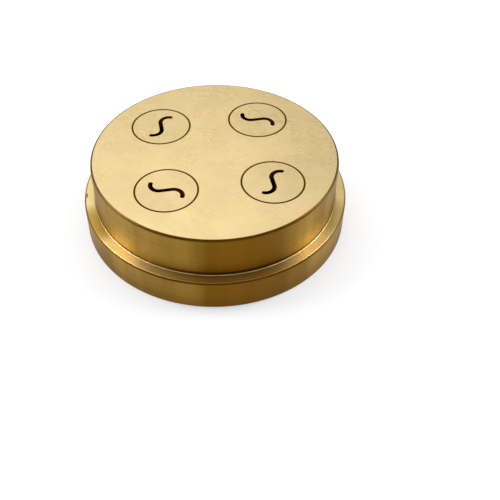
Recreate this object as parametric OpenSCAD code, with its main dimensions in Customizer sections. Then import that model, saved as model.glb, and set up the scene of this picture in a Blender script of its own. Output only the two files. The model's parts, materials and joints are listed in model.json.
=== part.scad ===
// Pasta extrusion die: a turned, flanged body with four stepped bores, and in each bore an
// insert whose S-shaped slot winds through its land, so that the dough leaves it twisted.
// Millimetres. The axis is Z, the rear face lies at Z 0, and the dough leaves along +Z.

/* [Body] */
// Diameter of the flange at the foot, held in the seat of the machine's head
flange_d = 60; // [57:0.5:80]
// Height of the flange
flange_h = 7.3; // [4:0.1:10]
// Diameter of the barrel, which stands out through the ring nut
barrel_d = 55; // [51:0.5:57]
// Height of the barrel above the flange
barrel_h = 9.9; // [6:0.1:20]
// Radius of the fillet where the barrel meets the flange
root_r = 0.3; // [0.2:0.05:0.65]
// Rounding of the outer edges left by the lathe
edge_r = 0.45; // [0.1:0.05:0.5]

/* [Insert seats] */
// Diameter of the circle on which the inserts sit
insert_circle_d = 32; // [27:0.5:34]
// Diameter of the bore in the exit face
nose_d = 13.4; // [12.5:0.1:14.5]
// Diameter of the counterbore that takes the insert's head
head_d = 16.4; // [15.5:0.1:17.5]
// Height of the insert's head
head_h = 3; // [1.5:0.1:5]
// Depth of the insert's head below the rear face
head_sink = 0.3; // [0.1:0.1:1]
// Radial clearance between insert and bore
fit_clearance = 0.03; // [0.01:0.01:0.08]
// Width of the broken edges on both sides of the joint in the exit face
joint_break = 0.18; // [0.05:0.01:0.3]
// Width of the broken edges at the rear
rear_break = 0.3; // [0.1:0.05:0.5]

/* [Feed chamber] */
// Diameter of the chamber that feeds the slot
chamber_d = 10.8; // [10.4:0.1:11.4]
// Rounding at the chamber's closed end
chamber_r = 0.6; // [0.2:0.1:0.6]
// Width of the chamfer at the chamber's mouth
mouth_chamfer = 0.8; // [0.2:0.1:1.2]

/* [Slot] */
// Thickness of the land that the slot is cut through
land_h = 4; // [2:0.1:6]
// Width of the slot
slot_w = 0.88; // [0.6:0.02:1.2]
// Length of the slot's straight middle
slot_middle = 2.46; // [2:0.02:2.6]
// Radius of each bend, at the middle of the slot's width
slot_bend_r = 1.94; // [1.4:0.02:2]
// Sweep of each bend
slot_bend_angle = 111; // [60:1:120]
// Turn of the slot's middle from the line through the die's axis, seen in the exit face
slot_turn = -41; // [-90:1:90]
// Length over which the slot winds round once, as a right-hand screw
slot_lead = 24; // [16:1:60]

/* [Hidden] */

// Facets of round forms that stay exact, and of the winding slot's outline
$fn = 96;
slot_fn = 40;
// Angle that the slot winds through in one layer
slot_layer_angle = 7.5;
// Overrun of a cut past the face that it opens
overrun = 0.05;

total_h = flange_h + barrel_h;
seat_z = head_sink + head_h;
chamber_end_z = total_h - land_h;
insert_nose_r = nose_d / 2 - fit_clearance;
insert_head_r = head_d / 2 - fit_clearance;

// The inserts stand a quarter turn apart, the first one halfway between +X and +Y
first_insert_angle = 45;
insert_step = 90;

body_brass = "#c8a45c";
insert_brass = "#d9ba78";

// The sliver between a corner at the origin and the arc that rounds it, with its legs along +X and +Y
module corner(r) {
    difference() {
        translate([-overrun, -overrun])
            square(r + overrun);
        translate([r, r])
            circle(r);
    }
}

// Half section of the body before it is bored
module body_profile() {
    difference() {
        union() {
            square([flange_d / 2, flange_h]);
            square([barrel_d / 2, total_h]);
            translate([barrel_d / 2, flange_h])
                corner(root_r);
        }
        translate([flange_d / 2, 0])
            mirror([1, 0])
                corner(edge_r);
        translate([flange_d / 2, flange_h])
            rotate(180)
                corner(edge_r);
        translate([barrel_d / 2, total_h])
            rotate(180)
                corner(edge_r);
    }
}

// What is cut from the body for one insert, on the insert's own axis
module insert_bore() {
    translate([0, 0, -overrun])
        cylinder(d = nose_d, h = total_h + 2 * overrun);
    translate([0, 0, -overrun])
        cylinder(d = head_d, h = seat_z + overrun);
    translate([0, 0, total_h - joint_break])
        cylinder(d1 = nose_d, d2 = nose_d + 2 * (joint_break + overrun), h = joint_break + overrun);
    translate([0, 0, -overrun])
        cylinder(d1 = head_d + 2 * (rear_break + overrun), d2 = head_d, h = rear_break + overrun);
}

// Half section of the insert: head, nose and the wall round the feed chamber
module insert_profile() {
    difference() {
        union() {
            translate([0, head_sink])
                square([insert_head_r, head_h]);
            translate([0, head_sink])
                square([insert_nose_r, total_h - head_sink]);
        }
        chamber_profile();
        edge_chamfer([insert_nose_r, total_h], joint_break);
        edge_chamfer([insert_head_r, head_sink], rear_break);
    }
}

// Half section of the feed chamber, with its mouth chamfered and its closed end rounded
module chamber_profile() {
    mouth_r = chamber_d / 2 + mouth_chamfer;
    difference() {
        translate([0, head_sink - overrun])
            square([chamber_d / 2, chamber_end_z - head_sink + overrun]);
        translate([chamber_d / 2, chamber_end_z])
            rotate(180)
                corner(chamber_r);
    }
    polygon([
        [0, head_sink - overrun],
        [mouth_r + overrun, head_sink - overrun],
        [chamber_d / 2, head_sink + mouth_chamfer],
        [0, head_sink + mouth_chamfer]
    ]);
}

// A square on its corner, which breaks the edge at a point of a half section by a width
module edge_chamfer(at, width) {
    translate(at)
        rotate(45)
            square(width * sqrt(2), center = true);
}

// The slot's outline: a straight middle, a bend at each end and round tips
module slot_outline() {
    square([slot_middle, slot_w], center = true);
    for (turn = [0, 180])
        rotate(turn)
            translate([slot_middle / 2, -slot_bend_r])
                bend();
}

// One bend, from straight up round to the right, with its tip
module bend() {
    reach = 2 * (slot_bend_r + slot_w);
    end_angle = 90 - slot_bend_angle;
    intersection() {
        difference() {
            circle(r = slot_bend_r + slot_w / 2, $fn = slot_fn);
            circle(r = slot_bend_r - slot_w / 2, $fn = slot_fn);
        }
        polygon([
            [0, 0],
            [0, reach],
            reach * [cos(end_angle / 2 + 45), sin(end_angle / 2 + 45)],
            reach * [cos(end_angle), sin(end_angle)]
        ]);
    }
    rotate(end_angle)
        translate([slot_bend_r, 0])
            circle(d = slot_w, $fn = slot_fn);
}

// The slot as it winds up through the land: its outline lies at slot_turn in the exit face
module winding_slot() {
    run = land_h + 2 * overrun;
    twist_angle = 360 * run / slot_lead;
    exit_lag = 360 * (land_h + overrun) / slot_lead;
    translate([0, 0, chamber_end_z - overrun])
        rotate(slot_turn - exit_lag)
            linear_extrude(height = run, twist = -twist_angle, slices = ceil(twist_angle / slot_layer_angle))
                slot_outline();
}

// Carries its children from the die's axis to one seat, and turns them with it
module at_seat(index) {
    rotate(first_insert_angle + index * insert_step)
        translate([insert_circle_d / 2, 0, 0])
            children();
}

// The turned body with its flange and the four stepped bores
module die_body() {
    color(body_brass)
        difference() {
            rotate_extrude()
                body_profile();
            for (index = [0:3])
                at_seat(index)
                    insert_bore();
        }
}

// One insert: its nose is flush with the exit face, and its head seats on the step of the bore
module insert(index) {
    color(insert_brass)
        at_seat(index)
            difference() {
                rotate_extrude()
                    insert_profile();
                winding_slot();
            }
}

module insert_back_right() {
    insert(0);
}

module insert_back_left() {
    insert(1);
}

module insert_front_left() {
    insert(2);
}

module insert_front_right() {
    insert(3);
}

die_body();
insert_back_right();
insert_back_left();
insert_front_left();
insert_front_right();
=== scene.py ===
import json
import math
from contextlib import contextmanager
from itertools import pairwise
from typing import NamedTuple

import bmesh
import bpy
from bpy.props import FloatProperty, FloatVectorProperty, PointerProperty
from mathutils import Matrix, Vector


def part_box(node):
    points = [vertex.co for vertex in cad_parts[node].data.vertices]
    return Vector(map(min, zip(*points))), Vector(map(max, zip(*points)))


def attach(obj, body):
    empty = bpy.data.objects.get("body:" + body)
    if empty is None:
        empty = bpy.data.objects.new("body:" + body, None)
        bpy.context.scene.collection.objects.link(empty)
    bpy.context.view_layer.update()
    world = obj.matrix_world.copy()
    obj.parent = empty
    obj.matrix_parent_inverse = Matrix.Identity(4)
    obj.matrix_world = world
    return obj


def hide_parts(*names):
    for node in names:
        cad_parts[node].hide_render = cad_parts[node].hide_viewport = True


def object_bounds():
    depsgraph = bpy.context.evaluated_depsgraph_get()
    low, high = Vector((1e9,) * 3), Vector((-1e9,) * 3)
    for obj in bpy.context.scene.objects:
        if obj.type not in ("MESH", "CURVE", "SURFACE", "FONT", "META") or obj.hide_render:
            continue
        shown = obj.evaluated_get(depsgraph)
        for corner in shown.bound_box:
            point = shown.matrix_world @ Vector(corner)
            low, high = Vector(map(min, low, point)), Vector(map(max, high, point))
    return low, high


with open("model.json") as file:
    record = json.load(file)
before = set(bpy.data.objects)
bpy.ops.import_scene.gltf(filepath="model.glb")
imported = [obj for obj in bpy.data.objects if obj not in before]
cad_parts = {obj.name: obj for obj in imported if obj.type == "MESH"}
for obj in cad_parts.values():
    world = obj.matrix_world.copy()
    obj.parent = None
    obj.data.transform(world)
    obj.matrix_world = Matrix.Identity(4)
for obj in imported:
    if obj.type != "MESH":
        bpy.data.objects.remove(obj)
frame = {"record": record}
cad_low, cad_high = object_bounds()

bl_info = {
    "name": "Pasta Extrusion Die",
    "version": (1, 0, 0),
    "blender": (4, 5, 0),
    "location": "View3D > Sidebar > Die",
    "description": "Models a flanged brass die with four slotted inserts, and the stage that it stands on",
    "category": "Add Mesh",
}

MM = 0.001
# Distance within which two places count as the same
CLOSE = 0.01 * MM
# Distance within which points of the slot's outline merge
MERGE = CLOSE / 10
# Distance by which a cutting tool runs past the face that it opens
OVERRUN = 0.05 * MM

# Facets round the body, and round the bores and inserts
BODY_FACETS = 256
INSERT_FACETS = 128
# Segments across a rounded edge and across the root between barrel and flange
ROUND_SEGMENTS = 5
ROOT_SEGMENTS = 8
# Subdivisions of the ball that cuts the nick
NICK_SUBDIVISIONS = 4
# Segments along a bend of the slot and round its tip, and layers of the slot through the land
BEND_SEGMENTS = 14
TIP_SEGMENTS = 10
SLOT_LAYERS = 20

# Each insert's CAD node
INSERT_NODES = ("insert_back_right", "insert_back_left", "insert_front_left", "insert_front_right")

# Edges that turn by more than this stay crisp
CRISP_ANGLE = math.radians(35)
# Z of a face's normal from which the face counts as tilted, and from which it counts as level
TILTED = 0.05
LEVEL = 0.99
# Z of the normals from which the flange's rounded edges get painted shade, the root is rubbed bright,
# and the shoulder counts as faced
FLANGE_SHADED = 0.3
ROOT_BURNISHED = 0.7
SHOULDER_FACED = 0.95
# Difference in width at which an insert no longer counts as the CAD's
WIDTH_TOLERANCE = 0.1 * MM
# The side of the die with the darkest painted shade, and a band in it where that shade is lighter, as
# angles from +X
PAINTED_SHADE_SIDE = math.radians(-90)
PAINTED_LIGHT_BAND = math.radians(-111)
# The side of the exit face where the strokes of the sanding show most, as an angle from +X,
# and the distance on both sides of the axis over which they grow stronger
STROKED_SIDE = math.radians(68)
STROKED_REACH = 18 * MM
# Places of painted shade on the shoulder, as angles from +X, and how strong each is
SHADE_PATCHES = ((math.radians(-161), 1.0), (math.radians(-28), 0.5))
# Tint of the walls and edges where they are seen along the surface
GRAZING_TINT = (0.70, 0.69, 0.74, 1.0)
# Width of the stain beside a joint
STAIN_W = 0.09 * MM
# Range in which most of a noise's values lie
NOISE_LOW = 0.3
NOISE_HIGH = 0.7
# Strength of the grain left by the lathe, and the quarter turn that spreads reflections across it
LATHE_GRAIN = 0.75
ACROSS_GRAIN = 0.25
# Roughness of the edges and the root between their bright rubs, and on them
BETWEEN_RUBS_ROUGHNESS = 0.28
RUBS_ROUGHNESS = 0.36

# Width of the floor, in metres
FLOOR_W = 3
# Where the camera stands round the die, in degrees and metres, the point that it looks at, and its roll
CAMERA_AZIMUTH = -5.24
CAMERA_ELEVATION = 43.03
CAMERA_DISTANCE = 168.6 * MM
CAMERA_TARGET = (0, 0, 1.15 * MM)
CAMERA_ROLL = math.radians(-0.985)
# The camera's lens and sensor in millimetres, its shift in widths of the picture, and its reach in metres
LENS = 50.81
SENSOR_W = 36
SHIFT_X = 0.0694
SHIFT_Y = -0.0887
CLIP_START = 0.01
CLIP_END = 10


class Softbox(NamedTuple):
    """A soft lamp: its place round the die, in degrees and metres, and its size in metres."""

    name: str
    azimuth: float
    elevation: float
    distance: float
    width: float
    height: float


TOP_SOFTBOX = Softbox("top_softbox", azimuth=-160, elevation=57, distance=0.62, width=0.6, height=0.45)
SIDE_SOFTBOXES = (
    Softbox("left_softbox", azimuth=-107, elevation=45, distance=0.6, width=0.26, height=0.26),
    Softbox("right_softbox", azimuth=98, elevation=45, distance=0.6, width=0.26, height=0.26),
)


def wall_of(name):
    """Radius, lowest and highest point of the straight wall of a round mount, in metres."""
    mount = next(mount for mount in frame["record"]["mounts"] if mount["name"] == name)
    radius = mount["dims"]["r_mm"] * MM
    half_length = mount["dims"]["length_mm"] * MM / 2
    middle = mount["pos_m"][2]
    return radius, middle - half_length, middle + half_length


FLANGE_R, _, FLANGE_WALL_HIGH = wall_of("flange_rim")
BARREL_R, BARREL_WALL_LOW, BARREL_WALL_HIGH = wall_of("barrel")
EXIT_Z = cad_high.z
EDGE_R = EXIT_Z - BARREL_WALL_HIGH
SHOULDER_Z = FLANGE_WALL_HIGH + EDGE_R
ROOT_R = BARREL_WALL_LOW - SHOULDER_Z


def length_property(name, description, millimetres):
    """A length that a user can change, given in millimetres and kept in metres."""
    return FloatProperty(
        name=name, description=description, default=millimetres * MM, min=0, unit="LENGTH", precision=5
    )


def angle_property(name, description, degrees):
    """An angle that a user can change, given in degrees."""
    return FloatProperty(
        name=name, description=description, default=math.radians(degrees), subtype="ANGLE"
    )


def colour_property(name, description, rgb):
    """A colour that a user can change, in linear light."""
    return FloatVectorProperty(
        name=name, description=description, default=rgb, size=3, min=0, max=1, subtype="COLOR"
    )


class DieSizes(bpy.types.PropertyGroup):
    """Sizes of the inserts, their seats, the slot and the nick in the shoulder."""

    nose_d: length_property("Bore", "Diameter of the bore in the exit face", 13.4)
    head_d: length_property("Counterbore", "Diameter of the counterbore for the insert's head", 16.4)
    head_h: length_property("Head height", "Height of the insert's head", 3)
    head_sink: length_property("Head depth", "Depth of the insert's head below the rear face", 0.3)
    fit_clearance: length_property("Clearance", "Radial clearance between insert and bore", 0.03)
    joint_break: length_property("Joint edge", "Width of the broken edges at the joint", 0.18)
    rear_break: length_property("Rear edge", "Width of the broken edges at the rear", 0.3)
    chamber_d: length_property("Chamber", "Diameter of the feed chamber", 10.8)
    chamber_r: length_property("Chamber end", "Rounding at the chamber's closed end", 0.6)
    mouth_chamfer: length_property("Chamber mouth", "Width of the chamfer at the chamber's mouth", 0.8)
    land_h: length_property("Land", "Thickness of the land that the slot is cut through", 4)
    slot_w: length_property("Slot width", "Width of the slot", 0.88)
    slot_middle: length_property("Slot middle", "Length of the slot's straight middle", 2.46)
    slot_bend_r: length_property("Slot bend", "Radius of each bend, at the slot's middle", 1.94)
    slot_bend_angle: angle_property("Bend sweep", "Sweep of each bend", 111)
    slot_turn: angle_property("Slot turn", "Turn of its middle from the line through the axis", -41)
    slot_lead: length_property("Slot lead", "Length over which the slot winds round once", 24)
    slot_break: length_property("Slot edge", "Width of the broken edge round the slot's exit", 0.06)
    nick_length: length_property("Nick", "Length of the hollow that a knock left in the shoulder", 1.5)
    nick_w: length_property("Nick width", "Width of that hollow", 0.34)
    nick_depth: length_property("Nick depth", "Depth of that hollow", 0.045)
    nick_reach: length_property("Nick reach", "Distance of that hollow from the axis", 29.45)
    nick_turn: angle_property("Nick place", "Place of that hollow round the shoulder, from +X", 179.7)


class DieColours(bpy.types.PropertyGroup):
    """Colours of the brass and of what has settled in it."""

    sanded: colour_property("Sanded face", "Brass of the exit face, sanded bright", (0.90, 0.695, 0.35))
    turned: colour_property("Turned wall", "Brass of the turned walls", (0.43, 0.269, 0.055))
    # Also the painted shade on the front of the walls and toward the foot, besides the dark streaks, rings
    # and stains
    shade_and_patina: colour_property(
        "Aged wall", "Brass of the turned walls where it has darkened most", (0.205, 0.094, 0.0065)
    )
    faced: colour_property("Faced shoulder", "Brass of the faced shoulder and rear", (0.92, 0.71, 0.31))
    burnished: colour_property("Burnished root", "Brass of the root, rubbed bright", (0.80, 0.60, 0.28))
    # Painted shade: the dark lines along the rounded edges and above the root
    shaded: colour_property(
        "Tarnished edges", "Brass of the rounded edges, tarnished dark", (0.12, 0.055, 0.003)
    )
    bored: colour_property("Bored chamber", "Brass of the bores and chambers", (0.55, 0.38, 0.14))
    residue: colour_property("Residue", "What has dried in the slots", (0.05, 0.014, 0.003))
    grime: colour_property("Grime", "What has settled in the joints", (0.135, 0.062, 0.0004))


class DieStage(bpy.types.PropertyGroup):
    """Light and ground of the stage."""

    ground: colour_property("Ground", "Colour of the floor", (0.75, 0.76, 0.78))
    ground_glow: FloatProperty(
        name="Ground glow", description="Light that the floor adds where it is seen", default=0.41
    )
    surround: colour_property("Surround", "Light from all round", (0.54, 0.54, 0.54))
    top_level: FloatProperty(
        name="Top softbox", description="Brightness of the softbox above, where 1 is white", default=0.67
    )
    side_level: FloatProperty(
        name="Side softboxes", description="Brightness of the softboxes at the sides", default=4.8
    )


@contextmanager
def editing(piece):
    """Edit mode on one piece, with nothing selected in it."""
    bpy.ops.object.select_all(action="DESELECT")
    piece.select_set(True)
    bpy.context.view_layer.objects.active = piece
    bpy.ops.object.mode_set(mode="EDIT")
    bpy.ops.mesh.select_all(action="DESELECT")
    yield
    bpy.ops.object.mode_set(mode="OBJECT")


def choose(kind, fits):
    """Selects the vertices, edges or faces of the piece in edit mode that fit, and nothing else."""
    bpy.ops.mesh.select_mode(type=kind)
    bpy.ops.mesh.select_all(action="DESELECT")
    mesh = bmesh.from_edit_mesh(bpy.context.edit_object.data)
    elements = {"VERT": mesh.verts, "EDGE": mesh.edges, "FACE": mesh.faces}[kind]
    for element in elements:
        if fits(element):
            element.select_set(True)
    mesh.select_flush_mode()
    bmesh.update_edit_mesh(bpy.context.edit_object.data)


def choose_ring(radius, height):
    """Selects the edges of the ring at that radius and height round the Z axis."""

    def on_ring(edge):
        return all(
            abs(vert.co.z - height) < CLOSE and abs(vert.co.xy.length - radius) < CLOSE
            for vert in edge.verts
        )

    choose("EDGE", on_ring)


def choose_level_face(height, up):
    """Selects the level faces at that height which look up or down."""

    def is_level(face):
        return abs(face.calc_center_median().z - height) < CLOSE and face.normal.z * up > LEVEL

    choose("FACE", is_level)


def bevel_ring(radius, height, width, segments):
    """Bevels the ring at that radius and height, as a chamfer or in a round."""
    choose_ring(radius, height)
    bpy.ops.mesh.bevel(offset=width, segments=segments, affect="EDGES")


def extrude_rings(profile):
    """Extrudes the selected round face from the profile's first (radius, height) through the others."""
    for (radius, height), (next_radius, next_height) in pairwise(profile):
        bpy.ops.mesh.extrude_region_move(TRANSFORM_OT_translate={"value": (0, 0, next_height - height)})
        growth = next_radius / radius
        bpy.ops.transform.resize(value=(growth, growth, 1), center_override=(0, 0, next_height))


def turn_selected(angle):
    """Turns what is selected about the Z axis, counterclockwise from above."""
    # With no window, the operator turns the other way
    bpy.ops.transform.rotate(value=-angle, orient_axis="Z", center_override=(0, 0, 0))


def turned_solid(name, profile, facets):
    """A solid turned round the Z axis, raised through the profile's points, each a (radius, height)."""
    radius, height = profile[0]
    bpy.ops.object.select_all(action="DESELECT")
    bpy.ops.mesh.primitive_circle_add(
        vertices=facets, radius=radius, fill_type="NGON", location=(0, 0, height)
    )
    piece = bpy.context.object
    piece.name = name
    bpy.ops.object.transform_apply(location=True)
    with editing(piece):
        bpy.ops.mesh.select_all(action="SELECT")
        extrude_rings(profile)
        bpy.ops.mesh.select_all(action="SELECT")
        bpy.ops.mesh.normals_make_consistent(inside=False)
    return piece


def cut(piece, cutter):
    """Takes the cutter's shape out of a piece. The cut faces keep the cutter's finish."""
    modifier = piece.modifiers.new("cut", "BOOLEAN")
    modifier.operation = "DIFFERENCE"
    modifier.solver = "EXACT"
    modifier.material_mode = "TRANSFER"
    modifier.object = cutter
    bpy.context.view_layer.objects.active = piece
    bpy.ops.object.modifier_apply(modifier=modifier.name)
    bpy.data.objects.remove(cutter)
    with editing(piece):
        # Points that the cut leaves along an edge, where it crossed a twisted face
        choose("VERT", lambda vert: len(vert.link_edges) == 2)
        bpy.ops.mesh.dissolve_verts()


def smooth(piece):
    """Smooth shading up to the crisp edges, with flat faces kept flat."""
    bpy.ops.object.select_all(action="DESELECT")
    piece.select_set(True)
    bpy.context.view_layer.objects.active = piece
    bpy.ops.object.shade_smooth_by_angle(angle=CRISP_ANGLE)
    modifier = piece.modifiers.new("flat_faces", "WEIGHTED_NORMAL")
    modifier.keep_sharp = True
    bpy.ops.object.modifier_apply(modifier=modifier.name)


def finish_faces(piece, finishes):
    """Gives each face of a piece the first material whose test it passes."""
    for material, _ in finishes:
        piece.data.materials.append(material)
    for face in piece.data.polygons:
        face.material_index = next(
            index for index, (_, fits) in enumerate(finishes) if fits(face.center, face.normal)
        )


class Seat(NamedTuple):
    """Where one insert sits: its CAD node, the axis of its bore and the turn of its radial line."""

    node: str
    axis: Vector
    angle: float


def seat_axis(node):
    """Where the axis of a CAD insert meets the rear face."""
    low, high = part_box(node)
    return Vector(((low.x + high.x) / 2, (low.y + high.y) / 2, 0))


def seats(sizes):
    """The four seats, where the CAD inserts sit. Their heads have to be as wide as the sizes say."""
    head_d = sizes.head_d - 2 * sizes.fit_clearance
    found = []
    for node in INSERT_NODES:
        low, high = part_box(node)
        width = high.x - low.x
        if abs(width - head_d) > WIDTH_TOLERANCE:
            raise ValueError(f"{node} is {width / MM:.2f} mm wide, and its head {head_d / MM:.2f} mm")
        axis = seat_axis(node)
        found.append(Seat(node, axis, math.atan2(axis.y, axis.x)))
    return found


def copy_at_seat(model, name, seat):
    """A copy of a piece modelled on the Z axis, with its mesh carried to a seat and turned with it."""
    bpy.ops.object.select_all(action="DESELECT")
    model.select_set(True)
    bpy.context.view_layer.objects.active = model
    bpy.ops.object.duplicate(linked=False)
    piece = bpy.context.object
    piece.name = name
    piece.location = seat.axis
    piece.rotation_euler = (0, 0, seat.angle)
    bpy.ops.object.transform_apply(location=True, rotation=True)
    return piece


class Sheet:
    """The node sheet of one material, round its Principled shader."""

    def __init__(self, name):
        self.material = bpy.data.materials.new(name)
        self.material.use_nodes = True
        self.tree = self.material.node_tree
        self.shader = self.tree.nodes["Principled BSDF"]

    def node(self, kind, *inputs, **settings):
        """Adds a node, sets it and feeds its inputs in order from sockets or values. None skips one."""
        node = self.tree.nodes.new(kind)
        for setting, value in settings.items():
            setattr(node, setting, value)
        for socket, value in zip(node.inputs, inputs):
            self.feed(socket, value)
        return node

    def feed(self, socket, value):
        """Links a socket to another, or sets its value."""
        if isinstance(value, bpy.types.NodeSocket):
            self.tree.links.new(value, socket)
        elif value is not None:
            socket.default_value = value

    def math(self, operation, a, b=None):
        """The result of a sum on one or two values."""
        return self.node("ShaderNodeMath", a, b, operation=operation).outputs[0]

    def ramp(self, value, low, high, to_low=0.0, to_high=1.0):
        """The value carried smoothly from one range into another."""
        node = self.node(
            "ShaderNodeMapRange", value, low, high, to_low, to_high, interpolation_type="SMOOTHSTEP"
        )
        return node.outputs[0]

    def mix(self, share, a, b):
        """Colour a, or colour b where the share is 1."""
        node = self.node("ShaderNodeMix", data_type="RGBA")
        for socket, value in ((node.inputs[0], share), (node.inputs[6], a), (node.inputs[7], b)):
            self.feed(socket, value)
        return node.outputs[2]

    def place(self):
        """The place on the piece, in metres."""
        return self.node("ShaderNodeTexCoord").outputs["Object"]

    def height(self):
        """The place's height above the rear face, in metres."""
        return self.node("ShaderNodeSeparateXYZ", self.place()).outputs["Z"]

    def along(self, vector, angle):
        """How far a vector reaches in the direction of an angle from +X."""
        towards = (math.cos(angle), math.sin(angle), 0)
        node = self.node("ShaderNodeVectorMath", vector, towards, operation="DOT_PRODUCT")
        return node.outputs["Value"]

    def stretched(self, size, turn=0.0, centre=(0, 0, 0)):
        """The place in units of a grain's size, turned about Z and measured from a centre."""
        mapping = self.node(
            "ShaderNodeMapping", self.place(), centre, (0, 0, turn), size, vector_type="TEXTURE"
        )
        return mapping.outputs[0]

    def noise(self, vector, detail=2.0, roughness=0.5):
        """Noise of about one unit in size, from 0 to 1."""
        node = self.node("ShaderNodeTexNoise", vector, None, 1.0, detail, roughness)
        return node.outputs[0]

    def grains(self, size, detail=2.0, roughness=0.5):
        """Noise in even grains of a size in metres."""
        return self.noise(self.stretched((size, size, size)), detail, roughness)

    def spread(self, noise, to_low=0.0, to_high=1.0):
        """A noise carried into a range that most of its values fill."""
        return self.ramp(noise, NOISE_LOW, NOISE_HIGH, to_low, to_high)

    def strokes(self, turn, length, width):
        """Noise drawn out into strokes at a turn in degrees, of a length and width in millimetres."""
        return self.noise(self.stretched((length * MM, width * MM, 1), math.radians(turn)), detail=1.0)

    def facing(self, angle):
        """1 where the place lies from the Z axis along an angle from +X, and -1 on the other side."""
        flat = self.node("ShaderNodeVectorMath", self.place(), (1, 1, 0), operation="MULTIPLY")
        outward = self.node("ShaderNodeVectorMath", flat.outputs[0], operation="NORMALIZE")
        return self.along(outward.outputs[0], angle)

    def painted_shade_side(self, low, high, share=1.0):
        """The share on the side of the die where shade is painted darkest, and 0 on the others."""
        return self.ramp(self.facing(PAINTED_SHADE_SIDE), low, high, 0, share)

    def reach(self, centre):
        """The distance from an axis along Z, or from the nearest of its mirror images in X and Y."""
        quarter = self.node("ShaderNodeVectorMath", self.place(), operation="ABSOLUTE")
        offset = tuple(-part for part in centre)
        flat = self.node("ShaderNodeMapping", quarter.outputs[0], offset, (0, 0, 0), (1, 1, 0))
        return self.node("ShaderNodeVectorMath", flat.outputs[0], operation="LENGTH").outputs["Value"]

    def rings(self, width, centre=(0, 0, 0)):
        """Noise that runs in rings round an axis along Z, and round its mirror images in X and Y."""
        across = self.math("DIVIDE", self.reach(centre), width)
        noise = self.node("ShaderNodeTexNoise", None, across, 1.0, 3.0, 0.6, noise_dimensions="1D")
        return noise.outputs[0]

    def bump(self, height, depth):
        """Raises the surface by a height from 0 to 1, times a depth in metres."""
        node = self.node("ShaderNodeBump")
        node.inputs["Strength"].default_value = 1.0
        node.inputs["Distance"].default_value = depth
        self.feed(node.inputs["Height"], height)
        self.feed(self.shader.inputs["Normal"], node.outputs[0])

    def grain_round_axis(self):
        """Spreads reflections across the lathe's grain, which runs round the Z axis."""
        tangent = self.node("ShaderNodeTangent", direction_type="RADIAL", axis="Z").outputs[0]
        self.set(anisotropic=LATHE_GRAIN, anisotropic_rotation=ACROSS_GRAIN, tangent=tangent)

    def set(self, **values):
        """Sets or links the shader's sockets, named in lower case with _ for a space."""
        for name, value in values.items():
            self.feed(self.shader.inputs[name.replace("_", " ").title()], value)


def shade(rgb, factor):
    """A colour made lighter or darker, with its alpha."""
    return tuple(min(1.0, channel * factor) for channel in rgb) + (1.0,)


def from_joint(sheet):
    """How far the place lies from the middle of the nearest joint round an insert."""
    bore_r = bpy.context.scene.die_sizes.nose_d / 2
    reach = sheet.reach(seat_axis(INSERT_NODES[0]))
    return sheet.math("ABSOLUTE", sheet.math("SUBTRACT", reach, bore_r))


def sanded_brass(colours, name="sanded_brass", tone=1.0):
    """The exit face: bright brass, sanded by hand in short strokes that cross at shallow angles."""
    sheet = Sheet(name)
    fine = sheet.strokes(turn=-42, length=4.0, width=0.12)
    # The coarser strokes, dull and bright, show in patches
    patches = sheet.ramp(sheet.grains(5 * MM, detail=1.0), 0.35, 0.65)
    towards = sheet.along(sheet.place(), STROKED_SIDE)
    stroked = sheet.ramp(towards, -STROKED_REACH, STROKED_REACH, 0.8, 2.3)
    patches = sheet.math("MULTIPLY", patches, stroked)
    dull = sheet.math(
        "MAXIMUM",
        sheet.strokes(turn=-48, length=2.4, width=0.2),
        sheet.strokes(turn=-30, length=2.0, width=0.2),
    )
    dull = sheet.math("MULTIPLY", sheet.ramp(dull, 0.56, 0.72, 0, 0.35), patches)
    bright = sheet.math(
        "MAXIMUM",
        sheet.strokes(turn=-42, length=2.2, width=0.2),
        sheet.strokes(turn=34, length=1.8, width=0.2),
    )
    bright = sheet.math("MULTIPLY", sheet.ramp(bright, 0.56, 0.7, 0, 0.5), patches)
    cloud = sheet.ramp(sheet.grains(7 * MM, detail=3.0), 0.35, 0.65)
    tint = sheet.mix(cloud, shade(colours.sanded, 0.945 * tone), shade(colours.sanded, 1.02 * tone))
    tint = sheet.mix(dull, tint, shade(colours.turned, 1.45 * tone))
    tint = sheet.mix(bright, tint, shade(colours.sanded, 1.12 * tone))
    joint_edge = bpy.context.scene.die_sizes.joint_break
    stain = sheet.ramp(from_joint(sheet), joint_edge, joint_edge + STAIN_W, 0.8, 0)
    sheet.set(
        base_color=sheet.mix(stain, tint, shade(colours.shade_and_patina, 1.3)),
        metallic=1.0,
        roughness=sheet.spread(fine, 0.28, 0.4),
    )
    sheet.bump(fine, depth=0.004 * MM)
    return sheet.material


def sanded_insert(colours):
    """The inserts' faces, sanded with the rest but a little darker."""
    return sanded_brass(colours, "sanded_insert", 0.95)


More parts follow.
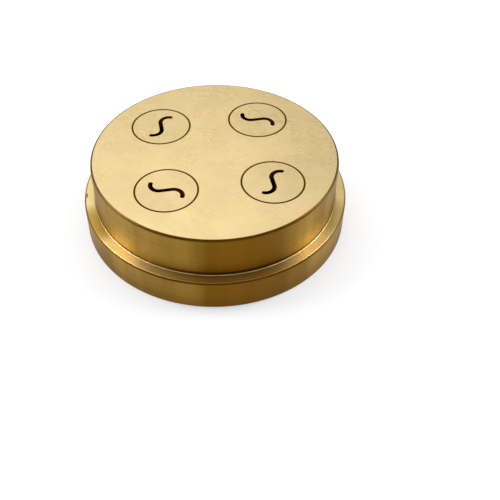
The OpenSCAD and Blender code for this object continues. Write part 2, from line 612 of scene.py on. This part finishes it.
def turned_brass(colours):
    """The turned walls: dark brass with patina streaks, painted shade on the front and toward the foot, and
    fine rings left by the tool.
    """
    sheet = Sheet("turned_brass")
    rings = sheet.noise(sheet.stretched((40 * MM, 40 * MM, 0.11 * MM)), detail=3.0, roughness=0.6)
    patina = sheet.noise(sheet.stretched((5 * MM, 5 * MM, 40 * MM)), detail=3.0, roughness=0.55)
    height = sheet.height()
    shade_and_patina = sheet.painted_shade_side(0.75, 0.985)
    # A band left of the front where the painted shade is halved: painted light
    painted_light_band = sheet.ramp(sheet.facing(PAINTED_LIGHT_BAND), 0.972, 0.999, 1, 0.5)
    # Painted shade on the front of the walls
    front_shade = sheet.math("MULTIPLY", shade_and_patina, painted_light_band)
    tint = sheet.mix(front_shade, shade(colours.turned, 1), shade(colours.shade_and_patina, 1))
    # Painted shade toward the foot; darker also in streaks and along the rings
    tint = sheet.mix(sheet.ramp(height, 0, 6 * MM, 0.55, 0), tint, shade(colours.shade_and_patina, 0.85))
    tint = sheet.mix(sheet.ramp(patina, 0.35, 0.65, 0, 0.4), tint, shade(colours.shade_and_patina, 0.75))
    tint = sheet.mix(sheet.ramp(rings, 0.45, 0.75, 0, 0.4), tint, shade(colours.shade_and_patina, 0.8))
    # Painted shade above the root: a narrow band all round, higher up on the front
    front_root_shade = sheet.ramp(height, SHOULDER_Z + 0.5 * MM, SHOULDER_Z + 1.2 * MM, 0.8, 0)
    whole_root_shade = sheet.ramp(height, SHOULDER_Z + 0.25 * MM, SHOULDER_Z + 0.6 * MM, 0.45, 0)
    root = sheet.math("MAXIMUM", sheet.math("MULTIPLY", front_root_shade, shade_and_patina), whole_root_shade)
    root = sheet.math("MULTIPLY", root, sheet.math("GREATER_THAN", height, SHOULDER_Z))
    sheet.set(
        base_color=sheet.mix(root, tint, shade(colours.shaded, 0.25)),
        metallic=1.0,
        roughness=sheet.spread(rings, 0.34, 0.44),
        specular_tint=GRAZING_TINT,
    )
    sheet.grain_round_axis()
    sheet.bump(rings, depth=0.003 * MM)
    return sheet.material


def faced_sheet(name, colours, centre=(0, 0, 0)):
    """The sheet of a face cut flat on the lathe, with rings round the piece's own axis."""
    sheet = Sheet(name)
    rings = sheet.rings(0.12 * MM, centre)
    patina = sheet.spread(sheet.grains(6 * MM, detail=4.0, roughness=0.6))
    tint = sheet.mix(patina, shade(colours.faced, 0.9), shade(colours.faced, 1.08))
    # Painted shade that only the shoulder has: on the front, and in two patches
    on_shoulder = sheet.ramp(sheet.height(), 0.5 * SHOULDER_Z, SHOULDER_Z)
    shade_and_patina = sheet.painted_shade_side(0.86, 0.98, share=0.85)
    tint = sheet.mix(sheet.math("MULTIPLY", shade_and_patina, on_shoulder), tint, shade(colours.turned, 1.9))
    for angle, share in SHADE_PATCHES:
        shade_patch = sheet.ramp(sheet.facing(angle), 0.970, 0.9985, 0, share)
        tint = sheet.mix(sheet.math("MULTIPLY", shade_patch, on_shoulder), tint, shade(colours.turned, 1.2))
    sheet.set(
        base_color=sheet.mix(sheet.ramp(rings, 0.5, 0.8, 0, 0.2), tint, shade(colours.faced, 0.65)),
        metallic=1.0,
        roughness=sheet.spread(rings, 0.26, 0.34),
    )
    sheet.bump(rings, depth=0.003 * MM)
    return sheet


def faced_brass(colours):
    """The body's shoulder and rear."""
    sheet = faced_sheet("faced_brass", colours)
    sheet.grain_round_axis()
    return sheet.material


def faced_insert(colours):
    """The inserts' rear faces."""
    return faced_sheet("faced_insert", colours, seat_axis(INSERT_NODES[0])).material


def rub(sheet, dull, bright):
    """Gives a sheet uneven rubs along an edge, from a dull tint to a bright one."""
    rubs = sheet.noise(sheet.stretched((3 * MM, 3 * MM, 0.4 * MM)), detail=3.0)
    sheet.set(
        base_color=sheet.mix(sheet.spread(rubs), dull, bright),
        metallic=1.0,
        roughness=sheet.spread(rubs, BETWEEN_RUBS_ROUGHNESS, RUBS_ROUGHNESS),
    )
    sheet.bump(rubs, depth=0.002 * MM)


def burnished_brass(colours):
    """The root between barrel and shoulder, rubbed bright when the die is wiped."""
    sheet = Sheet("burnished_brass")
    shade_and_patina = sheet.painted_shade_side(0.7, 0.96)
    # On the front, painted highlight and shade: brighter bright rubs and darker dull ones
    rub(
        sheet,
        sheet.mix(shade_and_patina, shade(colours.burnished, 0.85), shade(colours.burnished, 0.82)),
        sheet.mix(shade_and_patina, shade(colours.burnished, 1.05), shade(colours.burnished, 1.15)),
    )
    return sheet.material


def tarnished_brass(colours):
    """The rounded edges, darkened by painted shade into dark lines: darkest on the front, and lighter on
    the other sides.
    """
    sheet = Sheet("tarnished_brass")
    shade_and_patina = sheet.painted_shade_side(0.55, 0.92)
    height = sheet.height()

    def near(face_z):
        """1 in the half of a rounded edge that is next to the level face above it, and beyond."""
        return sheet.ramp(height, face_z - 0.7 * EDGE_R, face_z - 0.3 * EDGE_R)

    on_flange = sheet.math("LESS_THAN", height, SHOULDER_Z + EDGE_R)
    at_shoulder = sheet.math("MULTIPLY", near(SHOULDER_Z), on_flange)
    # Painted shade on the other sides, darker next to the exit face and the shoulder
    side = sheet.mix(near(EXIT_Z), shade(colours.turned, 0.7), shade(colours.turned, 0.40))
    side = sheet.mix(at_shoulder, side, shade(colours.turned, 0.52))
    rub(
        sheet,
        sheet.mix(shade_and_patina, side, shade(colours.shaded, 0.82)),
        sheet.mix(shade_and_patina, side, shade(colours.shaded, 1.15)),
    )
    sheet.set(specular_tint=GRAZING_TINT)
    return sheet.material


def bored_brass(colours):
    """Bores and chambers: duller brass with the rings of the boring tool."""
    sheet = Sheet("bored_brass")
    rings = sheet.noise(sheet.stretched((20 * MM, 20 * MM, 0.2 * MM)))
    patina = sheet.spread(sheet.grains(4 * MM, detail=3.0))
    sheet.set(
        base_color=sheet.mix(patina, shade(colours.bored, 0.75), shade(colours.bored, 1.1)),
        metallic=1.0,
        roughness=sheet.spread(rings, 0.36, 0.5),
    )
    sheet.bump(rings, depth=0.004 * MM)
    return sheet.material


def dull_deposit(name, rgb, clot):
    """A dull, uneven deposit with clots of a size in metres."""
    sheet = Sheet(name)
    clots = sheet.grains(clot, detail=3.0)
    sheet.set(
        base_color=sheet.mix(clots, shade(rgb, 0.6), shade(rgb, 1.4)),
        metallic=0.0,
        roughness=sheet.spread(clots, 0.7, 0.9),
    )
    sheet.shader.inputs["Specular IOR Level"].default_value = 0.0
    sheet.bump(clots, depth=0.02 * MM)
    return sheet.material


def dried_residue(colours):
    """What has dried on the walls of the slots."""
    return dull_deposit("dried_residue", colours.residue, 0.5 * MM)


def joint_grime(colours):
    """What has settled in the joints round the inserts."""
    return dull_deposit("joint_grime", colours.grime, 0.8 * MM)


def finish(name, colours):
    """A finish of the die, made when it is first asked for."""
    makers = {
        "sanded_brass": sanded_brass,
        "sanded_insert": sanded_insert,
        "turned_brass": turned_brass,
        "faced_brass": faced_brass,
        "faced_insert": faced_insert,
        "burnished_brass": burnished_brass,
        "tarnished_brass": tarnished_brass,
        "bored_brass": bored_brass,
        "dried_residue": dried_residue,
        "joint_grime": joint_grime,
    }
    return bpy.data.materials.get(name) or makers[name](colours)


def seat_cutter(sizes, colours):
    """What is bored out of the body for one insert, on the Z axis."""
    nose_r = sizes.nose_d / 2
    head_r = sizes.head_d / 2
    seat_z = sizes.head_sink + sizes.head_h
    joint_z = EXIT_Z - sizes.joint_break
    cutter = turned_solid(
        "seat_cutter",
        [
            (head_r + sizes.rear_break + OVERRUN, -OVERRUN),
            (head_r, sizes.rear_break),
            (head_r, seat_z),
            (nose_r, seat_z),
            (nose_r, joint_z),
            (nose_r + sizes.joint_break + OVERRUN, EXIT_Z + OVERRUN),
        ],
        INSERT_FACETS,
    )
    finish_faces(
        cutter,
        [
            (finish("joint_grime", colours), lambda centre, normal: centre.z > joint_z),
            (finish("bored_brass", colours), lambda centre, normal: True),
        ],
    )
    return cutter


def nick_cutter(sizes, colours):
    """The hollow that a knock left in the shoulder, near the flange's edge."""
    bpy.ops.object.select_all(action="DESELECT")
    bpy.ops.mesh.primitive_ico_sphere_add(
        subdivisions=NICK_SUBDIVISIONS, radius=1, location=(sizes.nick_reach, 0, SHOULDER_Z)
    )
    cutter = bpy.context.object
    cutter.scale = (sizes.nick_w / 2, sizes.nick_length / 2, sizes.nick_depth)
    bpy.ops.object.transform_apply(location=True, scale=True)
    cutter.rotation_euler = (0, 0, sizes.nick_turn)
    bpy.ops.object.transform_apply(rotation=True)
    # The hollow takes the colour of the rounded edges, with their painted shade
    cutter.data.materials.append(finish("tarnished_brass", colours))
    return cutter


class DIE_OT_turn_body(bpy.types.Operator):
    """Turns the flanged body and bores its four seats"""

    bl_idname = "die.turn_body"
    bl_label = "Turn Body"

    def execute(self, context):
        sizes = context.scene.die_sizes
        colours = context.scene.die_colours
        body = turned_solid(
            "turned_body",
            [(FLANGE_R, 0), (FLANGE_R, SHOULDER_Z), (BARREL_R, SHOULDER_Z), (BARREL_R, EXIT_Z)],
            BODY_FACETS,
        )
        with editing(body):
            bevel_ring(BARREL_R, SHOULDER_Z, ROOT_R, ROOT_SEGMENTS)
            for radius, height in ((FLANGE_R, 0), (FLANGE_R, SHOULDER_Z), (BARREL_R, EXIT_Z)):
                bevel_ring(radius, height, EDGE_R, ROUND_SEGMENTS)

        def in_root(centre):
            beside_barrel = centre.xy.length < BARREL_R + ROOT_R
            return beside_barrel and SHOULDER_Z < centre.z < SHOULDER_Z + ROOT_R

        # The rounded edges take the painted shade that draws them as dark lines
        def on_edge(centre, normal):
            shaded_from = FLANGE_SHADED if centre.z < SHOULDER_Z else TILTED
            return abs(normal.z) > shaded_from and not in_root(centre)

        finish_faces(
            body,
            [
                (
                    finish("sanded_brass", colours),
                    lambda centre, normal: normal.z > LEVEL and centre.z > EXIT_Z - CLOSE,
                ),
                (
                    finish("burnished_brass", colours),
                    lambda centre, normal: ROOT_BURNISHED < normal.z < SHOULDER_FACED and in_root(centre),
                ),
                (
                    finish("faced_brass", colours),
                    lambda centre, normal: abs(normal.z) > SHOULDER_FACED and centre.z < SHOULDER_Z + CLOSE,
                ),
                (finish("tarnished_brass", colours), on_edge),
                (finish("turned_brass", colours), lambda centre, normal: True),
            ],
        )
        cutter = seat_cutter(sizes, colours)
        for seat in seats(sizes):
            cut(body, copy_at_seat(cutter, "seat_cut", seat))
        bpy.data.objects.remove(cutter)
        cut(body, nick_cutter(sizes, colours))
        smooth(body)
        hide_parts("die_body")
        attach(body, "root")
        return {"FINISHED"}


def slot_sheet(sizes):
    """The slot's outline as a flat sheet: a straight middle, a bend at each end and round tips."""
    half_middle = sizes.slot_middle / 2
    bend_centre = Vector((half_middle, -sizes.slot_bend_r, 0))
    end_angle = math.pi / 2 - sizes.slot_bend_angle
    outward = Vector((math.cos(end_angle), math.sin(end_angle), 0))
    tip_centre = bend_centre + outward * sizes.slot_bend_r
    tip_start = tip_centre + outward * (sizes.slot_w / 2)
    bpy.ops.object.select_all(action="DESELECT")
    bpy.ops.mesh.primitive_plane_add(size=1)
    sheet = bpy.context.object
    sheet.scale = (sizes.slot_middle, sizes.slot_w, 1)
    bpy.ops.object.transform_apply(scale=True)
    with editing(sheet):
        choose("EDGE", lambda edge: all(vert.co.x > half_middle - CLOSE for vert in edge.verts))
        bpy.ops.mesh.spin(
            steps=BEND_SEGMENTS, angle=sizes.slot_bend_angle, center=bend_centre, axis=(0, 0, 1)
        )
        choose("VERT", lambda vert: (vert.co - tip_start).length < CLOSE)
        bpy.ops.mesh.spin(steps=TIP_SEGMENTS, angle=math.pi, center=tip_centre, axis=(0, 0, 1))
        bpy.ops.mesh.select_all(action="SELECT")
        bpy.ops.mesh.remove_doubles(threshold=MERGE)
        choose(
            "VERT",
            lambda vert: abs((vert.co - tip_centre).length - sizes.slot_w / 2) < CLOSE
            and (vert.co - bend_centre).cross(outward).z > -CLOSE,
        )
        bpy.ops.mesh.edge_face_add()
        choose("FACE", lambda face: face.calc_center_median().x > half_middle)
        bpy.ops.mesh.duplicate()
        turn_selected(math.pi)
        bpy.ops.mesh.select_all(action="SELECT")
        bpy.ops.mesh.remove_doubles(threshold=MERGE)
    return sheet


def slot_cutter(sizes, colours):
    """The slot as it winds up through the land, on the Z axis, with its radial line along X."""
    low = EXIT_Z - sizes.land_h - OVERRUN
    rise = (sizes.land_h + 2 * OVERRUN) / SLOT_LAYERS
    layer_turn = 2 * math.pi * rise / sizes.slot_lead
    exit_lag = 2 * math.pi * (sizes.land_h + OVERRUN) / sizes.slot_lead
    cutter = slot_sheet(sizes)
    cutter.name = "slot_cutter"
    with editing(cutter):
        bpy.ops.mesh.select_all(action="SELECT")
        bpy.ops.transform.translate(value=(0, 0, low))
        turn_selected(sizes.slot_turn - exit_lag)
        for _ in range(SLOT_LAYERS):
            bpy.ops.mesh.extrude_region_move(TRANSFORM_OT_translate={"value": (0, 0, rise)})
            turn_selected(layer_turn)
        bpy.ops.mesh.select_all(action="SELECT")
        bpy.ops.mesh.normals_make_consistent(inside=False)
    cutter.data.materials.append(finish("dried_residue", colours))
    return cutter


def insert_blank(sizes, colours):
    """One insert on the Z axis before its slot is cut: a head, a nose and the chamber from the rear."""
    nose_r = sizes.nose_d / 2 - sizes.fit_clearance
    head_r = sizes.head_d / 2 - sizes.fit_clearance
    bore_r = sizes.chamber_d / 2
    sink = sizes.head_sink
    seat_z = sink + sizes.head_h
    chamber_end = EXIT_Z - sizes.land_h
    blank = turned_solid(
        "insert_blank",
        [(head_r, sink), (head_r, seat_z), (nose_r, seat_z), (nose_r, EXIT_Z)],
        INSERT_FACETS,
    )
    with editing(blank):
        bevel_ring(nose_r, EXIT_Z, sizes.joint_break, 1)
        bevel_ring(head_r, sink, sizes.rear_break, 1)
        choose_level_face(sink, -1)
        extrude_rings(
            [
                (head_r - sizes.rear_break, sink),
                (bore_r + sizes.mouth_chamfer, sink),
                (bore_r, sink + sizes.mouth_chamfer),
                (bore_r, chamber_end),
            ]
        )
        bevel_ring(bore_r, chamber_end, sizes.chamber_r, ROUND_SEGMENTS)
    finish_faces(
        blank,
        [
            (
                finish("sanded_insert", colours),
                lambda centre, normal: normal.z > LEVEL and centre.z > seat_z + CLOSE,
            ),
            (
                finish("joint_grime", colours),
                lambda centre, normal: normal.z > TILTED and centre.z > seat_z + CLOSE,
            ),
            (
                finish("faced_insert", colours),
                lambda centre, normal: normal.z < -LEVEL and centre.z < sink + CLOSE,
            ),
            (
                finish("bored_brass", colours),
                lambda centre, normal: centre.xy.length < bore_r + sizes.mouth_chamfer,
            ),
            (finish("turned_brass", colours), lambda centre, normal: True),
        ],
    )
    return blank


def break_slot_edge(insert, sizes):
    """Breaks the edge round the slot in the exit face, where residue has dried too."""
    residue = insert.data.materials.find("dried_residue")

    def is_slot_edge(edge):
        at_exit = all(abs(vert.co.z - EXIT_Z) < CLOSE for vert in edge.verts)
        return at_exit and any(face.material_index == residue for face in edge.link_faces)

    with editing(insert):
        choose("EDGE", is_slot_edge)
        bpy.ops.mesh.bevel(offset=sizes.slot_break, segments=1, affect="EDGES", material=residue)


class DIE_OT_make_inserts(bpy.types.Operator):
    """Turns and slots one insert, and sets a copy of it in each seat"""

    bl_idname = "die.make_inserts"
    bl_label = "Make Inserts"

    def execute(self, context):
        sizes = context.scene.die_sizes
        colours = context.scene.die_colours
        model = insert_blank(sizes, colours)
        cut(model, slot_cutter(sizes, colours))
        break_slot_edge(model, sizes)
        smooth(model)
        for seat in seats(sizes):
            piece = copy_at_seat(model, seat.node.replace("insert", "slotted_insert"), seat)
            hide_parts(seat.node)
            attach(piece, "root")
        bpy.data.objects.remove(model)
        return {"FINISHED"}


def lay_floor(stage):
    """A plain pale floor, which keeps the die's shadow."""
    sheet = Sheet("pale_floor")
    path = sheet.node("ShaderNodeLightPath")
    seen = sheet.math(
        "MAXIMUM",
        sheet.math("MAXIMUM", path.outputs["Is Camera Ray"], path.outputs["Is Glossy Ray"]),
        path.outputs["Is Transmission Ray"],
    )
    speckle = sheet.grains(3 * MM)
    sheet.set(
        base_color=sheet.mix(speckle, shade(stage.ground, 0.99), shade(stage.ground, 1.01)),
        roughness=0.9,
        emission_color=(1.0, 1.0, 1.0, 1.0),
        emission_strength=sheet.math("MULTIPLY", seen, stage.ground_glow),
    )
    sheet.shader.inputs["Specular IOR Level"].default_value = 0.0
    bpy.ops.object.select_all(action="DESELECT")
    bpy.ops.mesh.primitive_plane_add(size=FLOOR_W, location=(0, 0, cad_low.z))
    floor = bpy.context.object
    floor.name = "floor"
    floor.data.materials.append(sheet.material)


def aim(item, target, roll=0.0):
    """Turns a lamp or camera to look at a point, then rolls it about its own line of sight."""
    look = (Vector(target) - item.location).to_track_quat("-Z", "Y")
    item.rotation_euler = (look.to_matrix() @ Matrix.Rotation(roll, 3, "Z")).to_euler()


def from_die(azimuth, elevation, distance):
    """A place round the die, in degrees and metres: azimuth 0 is the front, and the right is positive."""
    azimuth = math.radians(azimuth)
    elevation = math.radians(elevation)
    level_distance = distance * math.cos(elevation)
    right = level_distance * math.sin(azimuth)
    back = -level_distance * math.cos(azimuth)
    return Vector((right, back, distance * math.sin(elevation)))


def hang_softbox(softbox, level):
    """Hangs a soft lamp that looks at the die. A level of 1 shows white where it is mirrored."""
    lamp = bpy.data.lights.new(softbox.name, "AREA")
    lamp.shape = "RECTANGLE"
    lamp.size = softbox.width
    lamp.size_y = softbox.height
    lamp.energy = math.pi * softbox.width * softbox.height * level
    stand = bpy.data.objects.new(softbox.name, lamp)
    bpy.context.scene.collection.objects.link(stand)
    stand.location = from_die(softbox.azimuth, softbox.elevation, softbox.distance)
    aim(stand, (0, 0, EXIT_Z))


def light_surround(stage):
    """Even light from all round."""
    world = bpy.data.worlds.new("surround")
    world.use_nodes = True
    world.node_tree.nodes["Background"].inputs["Color"].default_value = (*stage.surround, 1.0)
    bpy.context.scene.world = world


def set_camera():
    """The camera at the photograph's angle, distance and framing."""
    camera = bpy.data.cameras.new("camera")
    camera.lens = LENS
    camera.sensor_width = SENSOR_W
    camera.shift_x = SHIFT_X
    camera.shift_y = SHIFT_Y
    camera.clip_start = CLIP_START
    camera.clip_end = CLIP_END
    stand = bpy.data.objects.new("camera", camera)
    bpy.context.scene.collection.objects.link(stand)
    stand.location = from_die(CAMERA_AZIMUTH, CAMERA_ELEVATION, CAMERA_DISTANCE)
    aim(stand, CAMERA_TARGET, CAMERA_ROLL)
    bpy.context.scene.camera = stand


class DIE_OT_set_stage(bpy.types.Operator):
    """Lays the floor and sets the lamps and the camera"""

    bl_idname = "die.set_stage"
    bl_label = "Set Stage"

    def execute(self, context):
        stage = context.scene.die_stage
        lay_floor(stage)
        light_surround(stage)
        hang_softbox(TOP_SOFTBOX, stage.top_level)
        for softbox in SIDE_SOFTBOXES:
            hang_softbox(softbox, stage.side_level)
        set_camera()
        context.scene.view_settings.view_transform = "Standard"
        return {"FINISHED"}


class DIE_PT_panel(bpy.types.Panel):
    """Lists the die's pieces, sizes and colours"""

    bl_idname = "DIE_PT_panel"
    bl_label = "Extrusion Die"
    bl_space_type = "VIEW_3D"
    bl_region_type = "UI"
    bl_category = "Die"

    def draw(self, context):
        for operator in OPERATORS:
            self.layout.operator(operator.bl_idname)
        for group in GROUPS:
            settings = getattr(context.scene, group)
            for name in settings.__annotations__:
                self.layout.prop(settings, name)


OPERATORS = (DIE_OT_turn_body, DIE_OT_make_inserts, DIE_OT_set_stage)
GROUPS = {"die_sizes": DieSizes, "die_colours": DieColours, "die_stage": DieStage}
CLASSES = (*GROUPS.values(), *OPERATORS, DIE_PT_panel)


def register():
    for cls in CLASSES:
        bpy.utils.register_class(cls)
    for name, group in GROUPS.items():
        setattr(bpy.types.Scene, name, PointerProperty(type=group))


def unregister():
    for name in GROUPS:
        delattr(bpy.types.Scene, name)
    for cls in reversed(CLASSES):
        bpy.utils.unregister_class(cls)


def main():
    """Makes the die and its stage."""
    register()
    bpy.ops.die.turn_body()
    bpy.ops.die.make_inserts()
    bpy.ops.die.set_stage()


if __name__ == "__main__":
    main()
